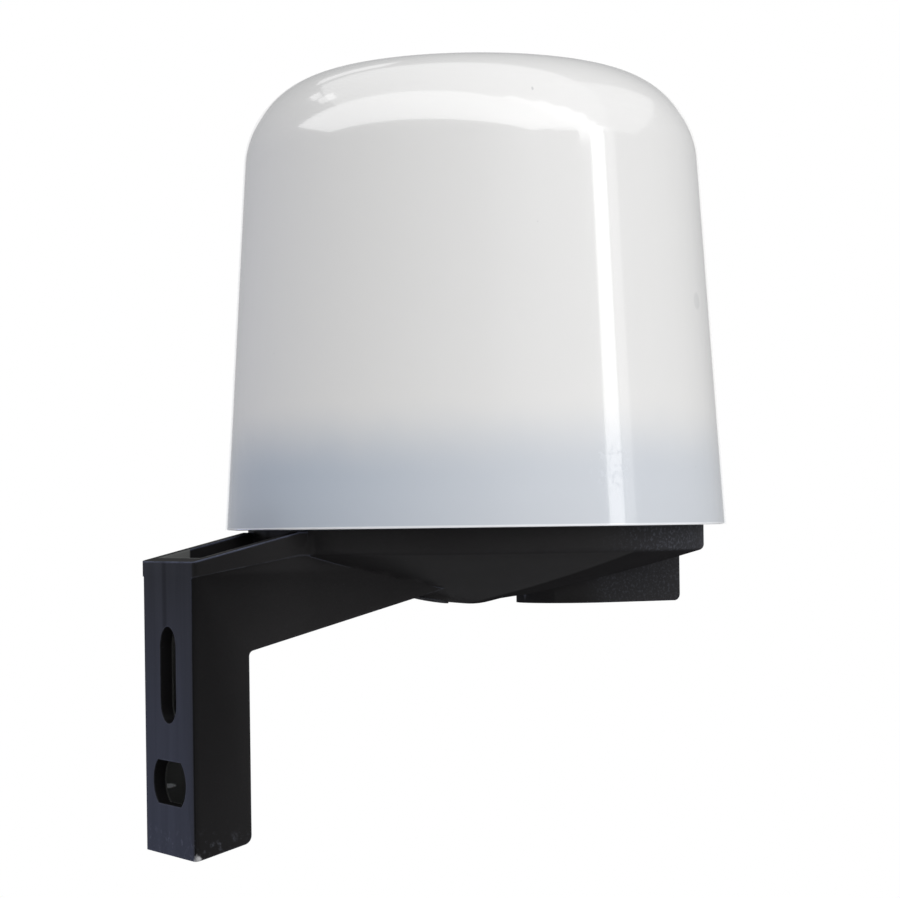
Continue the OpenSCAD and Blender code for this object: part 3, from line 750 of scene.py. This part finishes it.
@dataclass
class DomeCover:
    """Opal dome: a tapered cup with a round shoulder and a slightly raised crown."""

    axis_x: float
    rim_z: float
    rim_radius: float
    height: float
    draft: float = math.radians(3.6)
    shoulder_radius: float = 14 * MM
    crown_rise: float = 4 * MM
    wall: float = 2 * MM
    rim_edge: float = 0.2 * MM
    segments: int = 192
    arc_steps: int = 24
    side_steps: int = 12
    edge_steps: int = 6

    def arcs(self, inset: float) -> list[tuple[float, float]]:
        """Shoulder and crown of the dome's outline, from side to top.

        Args:
            inset: Distance inside the outer skin.

        Returns:
            Points of (radius, height above the rim).
        """
        slope = math.tan(self.draft)
        top_radius = self.rim_radius - self.height * slope
        crown = (top_radius ** 2 + self.crown_rise ** 2) / (2 * self.crown_rise)
        crown_z = self.height - crown
        reach = self.rim_radius - self.shoulder_radius / math.cos(self.draft) - crown_z * slope
        gap = crown - self.shoulder_radius
        square = 1 + slope ** 2
        rise = (reach * slope + math.sqrt((reach * slope) ** 2 - square * (reach ** 2 - gap ** 2))) / square
        middle = reach - rise * slope
        end = math.atan2(rise, middle)
        line = []
        for i in range(self.arc_steps + 1):
            turn = self.draft + (end - self.draft) * i / self.arc_steps
            line.append((middle + (self.shoulder_radius - inset) * math.cos(turn),
                         crown_z + rise + (self.shoulder_radius - inset) * math.sin(turn)))
        for i in range(1, self.arc_steps + 1):
            turn = end + (math.pi / 2 - end) * i / self.arc_steps
            line.append(((crown - inset) * math.cos(turn), crown_z + (crown - inset) * math.sin(turn)))
        return line

    def profile(self) -> list[tuple[float, float]]:
        """Closed outline of the wall, from the rim's inner edge round the outside and back inside.

        Returns:
            Points of (radius, height in the frame).
        """
        edge_radius = self.rim_radius - self.rim_edge * (1 + math.tan(self.draft))
        line = [(self.rim_radius - self.wall / math.cos(self.draft), 0.0)]
        for i in range(self.edge_steps + 1):
            turn = -math.pi / 2 + math.pi / 2 * i / self.edge_steps
            line.append((edge_radius + self.rim_edge * math.cos(turn),
                         self.rim_edge * (1 + math.sin(turn))))
        outer, inside = self.arcs(0.0), self.arcs(self.wall)
        (foot_r, foot_z), (top_r, top_z) = line[-1], outer[0]
        for i in range(1, self.side_steps):
            share = i / self.side_steps
            line.append((foot_r + (top_r - foot_r) * share, foot_z + (top_z - foot_z) * share))
        line += outer + inside[::-1]
        return [(max(r, 0.0), self.rim_z + z) for r, z in line]

    def build(self, revolve: Revolve, finish: bpy.types.Material) -> bpy.types.Object:
        """Revolves the wall.

        Args:
            revolve: Tree that turns a profile into a skin.
            finish: Material of the dome.

        Returns:
            The dome.
        """
        return revolve.skin("dome_skin", self.profile(), self.axis_x, self.segments, finish)

    def dress(self, revolve: Revolve) -> None:
        """Builds the dome, finishes it and hands it to the frame."""
        finish = OpalFinish(self.rim_z, self.axis_x).material()
        join_piece(self.build(revolve, finish), "opal_plastic", "dome_cover")


@dataclass
class BaseBracket:
    """Black base with its bracket: the CAD shape, with the tip of its bowl rounded."""

    axis_x: float
    node: str = "base_bracket"
    half_width: float = 9 * MM
    sharp: float = math.radians(28)
    flat: float = math.radians(0.6)
    merge: float = 0.001 * MM
    tip_search: float = 0.1 * MM
    tip_reach: float = 5 * MM
    tip_height: float = 1.2 * MM
    tip_round: float = 2 * MM
    tip_rings: int = 4
    tip_lean: float = 0.09

    def off_axis(self, vert: bmesh.types.BMVert) -> float:
        """Level distance of a point from the dome's axis."""
        return math.hypot(vert.co.x - self.axis_x, vert.co.y)

    def in_tip(self, vert: bmesh.types.BMVert, low: float) -> bool:
        """Whether a point lies on the outside of the tip, whose lowest height is given."""
        return self.off_axis(vert) < self.tip_reach and vert.co.z < low + self.tip_height

    def round_tip(self, work: bmesh.types.BMesh) -> None:
        """Cuts rings into the tip of the bowl's underside, rounds it and leans it to the wall.

        Args:
            work: Mesh of the base with its doubles merged.
        """
        tip = min((v for v in work.verts if self.off_axis(v) < self.tip_search), key=lambda v: v.co.z)
        low = tip.co.z
        around = [e.other_vert(tip) for e in tip.link_edges]
        slope = max((v.co.z - low) / self.off_axis(v) for v in around)
        for ring in range(1, self.tip_rings + 1):
            level = low + slope * self.tip_round * ring / self.tip_rings
            faces = [f for f in work.faces if all(self.in_tip(v, low) for v in f.verts)]
            parts = dict.fromkeys(p for f in faces for p in (*f.verts, *f.edges, f))
            bmesh.ops.bisect_plane(work, geom=list(parts), dist=self.merge,
                                   plane_co=(0.0, 0.0, level), plane_no=UP)
        for vert in [v for v in work.verts if self.in_tip(v, low)]:
            inward = max(0.0, self.tip_round - self.off_axis(vert))
            vert.co.z += slope * inward ** 2 / (2 * self.tip_round)
            vert.co.z += self.tip_lean * (vert.co.x - self.axis_x)

    def build(self) -> bpy.types.Object:
        """Copies the CAD mesh, merges it, rounds its tip and shades its curved faces smooth.

        Returns:
            The base, at the origin with its place in its mesh.
        """
        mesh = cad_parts[self.node].data.copy()
        mesh.name = "base_skin"
        work = bmesh.new()
        work.from_mesh(mesh)
        bmesh.ops.remove_doubles(work, verts=work.verts, dist=self.merge)
        bmesh.ops.dissolve_limit(work, angle_limit=self.flat, verts=work.verts, edges=work.edges)
        self.round_tip(work)
        work.to_mesh(mesh)
        work.free()
        piece = bpy.data.objects.new("base_skin", mesh)
        bpy.context.scene.collection.objects.link(piece)
        mesh.shade_smooth()
        mesh.set_sharp_from_angle(angle=self.sharp)
        return piece

    def dress(self) -> None:
        """Builds the base, finishes it and hands it to the frame."""
        low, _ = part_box(self.node)
        piece = self.build()
        finish = BlackMouldingFinish((0.0, -self.half_width, low.z), self.axis_x).material()
        piece.data.materials.clear()
        piece.data.materials.append(finish)
        join_piece(piece, "black_plastic", self.node)


@dataclass
class InnerParts:
    """Seals, circuit board, its parts and the terminals: CAD nodes that keep their shape."""

    finishes: dict[str, PlainFinish] = field(default_factory=lambda: {
        "dome_seal": PlainFinish("seal_rubber", Surface.RUBBER, (0.03, 0.03, 0.033), 0.62),
        "inlet_grommet": PlainFinish("grommet_rubber", Surface.RUBBER, (0.034, 0.034, 0.036), 0.58),
        "circuit_board": PlainFinish("solder_mask", Surface.LACQUERED, (0.03, 0.15, 0.05), 0.3),
        "board_screws": PlainFinish("zinc_plating", Surface.METAL, (0.55, 0.56, 0.58), 0.34),
        "relay": PlainFinish("relay_case", Surface.MOULDED, (0.05, 0.16, 0.4), 0.38),
        "dropper_capacitor": PlainFinish("capacitor_case", Surface.LACQUERED, (0.48, 0.06, 0.03), 0.3),
        "smoothing_capacitor": PlainFinish("can_sleeve", Surface.LACQUERED, (0.025, 0.042, 0.14), 0.28),
        "rectifier_diodes": PlainFinish("diode_resin", Surface.MOULDED, (0.023, 0.023, 0.025), 0.46),
        "zener_diode": PlainFinish("zener_glass", Surface.LACQUERED, (0.54, 0.14, 0.04), 0.12),
        "surge_varistor": PlainFinish("blue_epoxy", Surface.LACQUERED, (0.03, 0.1, 0.35), 0.26),
        "resistors": PlainFinish("tan_lacquer", Surface.LACQUERED, (0.58, 0.46, 0.25), 0.4),
        "driver_transistor": PlainFinish("transistor_resin", Surface.MOULDED, (0.023, 0.023, 0.025), 0.5),
        "sensor_tube": PlainFinish("white_tube", Surface.MOULDED, (0.77, 0.76, 0.7), 0.45),
        "light_sensor": PlainFinish("sensor_cell", Surface.MOULDED, (0.68, 0.58, 0.38), 0.4),
        "terminal_block": PlainFinish("cream_moulding", Surface.MOULDED, (0.69, 0.67, 0.58), 0.42),
        "terminal_clamps": PlainFinish("bright_brass", Surface.METAL, (0.58, 0.36, 0.07), 0.3),
        "terminal_screws": PlainFinish("screw_plating", Surface.METAL, (0.55, 0.56, 0.58), 0.36),
    })

    def dress(self) -> None:
        """Gives every node its finish."""
        for node, finish in self.finishes.items():
            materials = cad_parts[node].data.materials
            materials.clear()
            materials.append(finish.material())
            LOG.info("%s: finished as %s", node, finish.name)


@dataclass(frozen=True)
class Lamp:
    """Soft lamp that faces the dome from degrees right of the camera and degrees above the rim."""

    name: str
    turn: float
    rise: float
    distance: float
    size: tuple[float, float]
    radiance: float
    colour: Colour = WHITE
    mirrored: bool = True


@dataclass(frozen=True)
class Panel:
    """Level panel over the object, given by its reach ahead and beside in the turned panel frame.

    A panel that isn't soft shows only in gloss and gives no matt light.
    """

    name: str
    ahead: Range
    beside: Range
    radiance: float
    soft: bool = False


@dataclass
class Studio:
    """Camera, lamps, floor and backdrop round the dome's axis at the height of its rim."""

    centre: Vector
    turn: float = math.radians(30.3)
    distance: float = 0.376
    focal_px: float = 2490.0
    roll: float = math.radians(0.76)
    centre_px: tuple[float, float] = (475.9, 527.55)
    sensor: float = 36.0
    clip_near: float = 0.01
    floor_drop: float = 0.28
    floor_reach: float = 3.0
    floor_colour: Colour = (0.6, 0.6, 0.6)
    floor_grain: float = 3 * MM
    floor_drift: float = 0.01
    floor_roughness: float = 0.85
    backdrop_distance: float = 1.25
    backdrop_reach: float = 0.5
    backdrop_colour: Colour = (0.9, 0.9, 0.9)
    backdrop_roughness: float = 0.9
    ambient: Colour = (0.435, 0.438, 0.444)
    lamps: tuple[Lamp, ...] = (
        Lamp("right_strip", turn=65.0, rise=-4.0, distance=1.12, size=(0.16, 1.2), radiance=1.75),
        Lamp("strip_edge", turn=72.6, rise=-4.0, distance=1.12, size=(0.11, 1.2), radiance=0.5),
        Lamp("wall_side_fill", turn=-119.0, rise=-14.5, distance=0.55, size=(0.4, 0.22), radiance=1.5,
             colour=(0.46, 0.55, 1.0)),
        Lamp("front_fill", turn=35.0, rise=14.0, distance=1.3, size=(1.2, 1.2), radiance=1.31,
             mirrored=False),
        Lamp("right_fill", turn=100.0, rise=8.0, distance=1.3, size=(1.1, 1.2), radiance=0.62,
             mirrored=False),
    )
    panels: tuple[Panel, ...] = (
        Panel("ceiling_middle", ahead=(-0.4, 0.45), beside=(-0.9, 2.75), radiance=0.52, soft=True),
        Panel("ceiling_front", ahead=(0.45, 1.62), beside=(-1.9, 2.45), radiance=0.8, soft=True),
        Panel("front_wash", ahead=(0.45, 1.62), beside=(-1.9, 2.45), radiance=0.42),
        Panel("ceiling_rear", ahead=(-1.4, -0.4), beside=(0.4, 2.75), radiance=0.32, soft=True),
        Panel("front_bar", ahead=(0.6, 1.62), beside=(1.0, 2.45), radiance=0.6),
        Panel("bend_first", ahead=(0.34, 0.45), beside=(0.5, 0.75), radiance=0.9),
        Panel("bend_second", ahead=(0.22, 0.45), beside=(0.75, 1.0), radiance=0.9),
        Panel("bend_third", ahead=(0.1, 0.45), beside=(1.0, 1.3), radiance=0.9),
        Panel("bend_fourth", ahead=(-0.03, 0.45), beside=(1.3, 1.8), radiance=0.9),
        Panel("corner_bar", ahead=(-0.15, 1.1), beside=(1.8, 2.75), radiance=0.8),
        Panel("corner_step", ahead=(-0.3, -0.15), beside=(2.2, 2.75), radiance=0.8),
        Panel("bend_far", ahead=(-0.1, 0.45), beside=(2.75, 3.25), radiance=1.5),
        Panel("left_pane", ahead=(-0.2, 0.0), beside=(-1.05, -0.92), radiance=0.9),
        Panel("right_pane", ahead=(0.02, 0.22), beside=(-1.0, -0.8), radiance=0.9),
        Panel("top_pane", ahead=(-0.7, -0.5), beside=(-0.95, -0.55), radiance=0.6),
    )
    panel_turn: float = math.radians(-26.5)
    panel_height: float = 1.0
    mirror_height: float = 0.99

    def axes(self) -> tuple[Vector, Vector]:
        """Level directions towards the camera and to its right."""
        towards = Vector((-math.sin(self.turn), -math.cos(self.turn), 0.0))
        return towards, Vector((math.cos(self.turn), -math.sin(self.turn), 0.0))

    def add_camera(self) -> None:
        """Sets the camera at the photograph's viewing angle, level with the rim."""
        towards, right = self.axes()
        data = bpy.data.cameras.new("camera")
        data.sensor_width = self.sensor
        data.lens = self.focal_px * self.sensor / IMAGE_SIZE[0]
        data.shift_x = (IMAGE_SIZE[0] / 2 - self.centre_px[0]) / IMAGE_SIZE[0]
        data.shift_y = (self.centre_px[1] - IMAGE_SIZE[1] / 2) / IMAGE_SIZE[0]
        data.clip_start = self.clip_near
        camera = bpy.data.objects.new("camera", data)
        bpy.context.scene.collection.objects.link(camera)
        level = Matrix((right, UP, towards)).transposed()
        rolled = level @ Matrix.Rotation(-self.roll, 3, "Z")
        camera.matrix_world = Matrix.Translation(self.centre + towards * self.distance) @ rolled.to_4x4()
        bpy.context.scene.camera = camera

    def add_light(self, name: str, size: tuple[float, float], radiance: float, colour: Colour,
                  place: Matrix) -> bpy.types.Object:
        """Adds a rectangular soft light.

        Args:
            name: Name of the light.
            size: Its width and height.
            radiance: Brightness of its face.
            colour: Its tint.
            place: Its place, facing along its own downward axis.

        Returns:
            The light.
        """
        data = bpy.data.lights.new(name, "AREA")
        data.shape = "RECTANGLE"
        data.size, data.size_y = size
        data.energy = radiance * math.pi * size[0] * size[1]
        data.color = colour
        light = bpy.data.objects.new(name, data)
        bpy.context.scene.collection.objects.link(light)
        light.matrix_world = place
        LOG.info("lamp %s", name)
        return light

    def add_lamp(self, lamp: Lamp) -> None:
        """Adds a soft lamp that faces the dome.

        Args:
            lamp: What to add.
        """
        towards, right = self.axes()
        turn, rise = math.radians(lamp.turn), math.radians(lamp.rise)
        back = (towards * math.cos(turn) + right * math.sin(turn)) * math.cos(rise) + UP * math.sin(rise)
        side = UP.cross(back).normalized()
        facing = Matrix((side, back.cross(side), back)).transposed().to_4x4()
        place = Matrix.Translation(self.centre + back * lamp.distance) @ facing
        light = self.add_light(lamp.name, lamp.size, lamp.radiance, lamp.colour, place)
        light.visible_glossy = lamp.mirrored

    def add_panel(self, panel: Panel) -> None:
        """Adds a level panel, whose edges the dome's shoulder mirrors.

        Args:
            panel: What to add.
        """
        towards, right = self.axes()
        ahead = towards * math.cos(self.panel_turn) + right * math.sin(self.panel_turn)
        beside = right * math.cos(self.panel_turn) - towards * math.sin(self.panel_turn)
        (near, far), (left, end) = panel.ahead, panel.beside
        middle = ahead * (near + far) / 2 + beside * (left + end) / 2
        height = self.panel_height if panel.soft else self.mirror_height
        place = Matrix((beside, -ahead, UP)).transposed().to_4x4()
        place.translation = self.centre + middle + UP * height
        light = self.add_light(panel.name, (end - left, far - near), panel.radiance, WHITE, place)
        light.visible_diffuse = panel.soft

    def plain_sheet(self, name: str, corners: list[Vector], material: bpy.types.Material) -> None:
        """Adds a flat sheet that isn't part of the object.

        Args:
            name: Name of the sheet.
            corners: Its four corners in order.
            material: Its finish.
        """
        mesh = bpy.data.meshes.new(name)
        mesh.from_pydata(corners, [], [(0, 1, 2, 3)])
        mesh.materials.append(material)
        sheet = bpy.data.objects.new(name, mesh)
        bpy.context.scene.collection.objects.link(sheet)

    def backdrop_paper(self) -> bpy.types.Material:
        """White paper that the camera, gloss and glass see as plain white.

        Returns:
            The material.
        """
        shader = Shader("backdrop_paper")
        shader.set(Base_Color=(*self.backdrop_colour, 1.0), Roughness=self.backdrop_roughness)
        ray = shader.node("ShaderNodeLightPath")
        seen = ray["Is Camera Ray"].at_least(ray["Is Glossy Ray"]).at_least(ray["Is Transmission Ray"])
        white = shader.node("ShaderNodeEmission", None, {"Color": (*WHITE, 1.0), "Strength": 1.0})
        paper = Wire(shader, shader.surface.outputs["BSDF"])
        mixed = shader.node("ShaderNodeMixShader", None, {0: seen, 1: paper, 2: white["Emission"]})
        out = shader.tree.nodes["Material Output"]
        shader.tree.links.new(mixed["Shader"].socket, out.inputs["Surface"])
        return shader.material

    def floor_paper(self) -> bpy.types.Material:
        """Pale matt paper of the floor, which keeps the shadow."""
        return PlainFinish("floor_paper", Surface.MOULDED, self.floor_colour, self.floor_roughness,
                           self.floor_grain, self.floor_drift).material()

    def add_sheets(self) -> None:
        """Adds the pale floor and the white backdrop behind the object."""
        towards, right = self.axes()
        ground = self.centre.z - self.floor_drop
        top = self.centre.z + self.backdrop_reach
        corners = [Vector((self.centre.x + x * self.floor_reach, y * self.floor_reach, ground))
                   for x, y in ((-1, -1), (1, -1), (1, 1), (-1, 1))]
        self.plain_sheet("floor", corners, self.floor_paper())
        middle = self.centre - towards * self.backdrop_distance
        left, end = (middle + right * side * self.backdrop_reach for side in (-1, 1))
        corners = [Vector((edge.x, edge.y, z))
                   for edge, z in ((left, ground), (end, ground), (end, top), (left, top))]
        self.plain_sheet("backdrop", corners, self.backdrop_paper())

    def set_world(self) -> None:
        """Gives the world one plain pale colour."""
        world = bpy.data.worlds.new("room")
        world.use_nodes = True
        background = world.node_tree.nodes["Background"]
        background.inputs["Color"].default_value = (*self.ambient, 1.0)
        background.inputs["Strength"].default_value = 1.0
        bpy.context.scene.world = world

    def build(self) -> None:
        """Sets up the whole studio."""
        self.add_camera()
        for lamp in self.lamps:
            self.add_lamp(lamp)
        for panel in self.panels:
            self.add_panel(panel)
        self.add_sheets()
        self.set_world()
        bpy.context.scene.view_settings.view_transform = "Standard"


def main() -> None:
    """Builds and dresses every piece, then the studio."""
    logging.basicConfig(level=logging.INFO, format="%(message)s")
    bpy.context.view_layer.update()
    low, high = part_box("dome_cover")
    axis = (low + high) / 2
    revolve = Revolve()
    DomeCover(axis.x, low.z, (high.y - low.y) / 2, high.z - low.z).dress(revolve)
    BaseBracket(axis.x).dress()
    InnerParts().dress()
    Studio(Vector((axis.x, axis.y, low.z))).build()


if __name__ == "__main__":
    main()
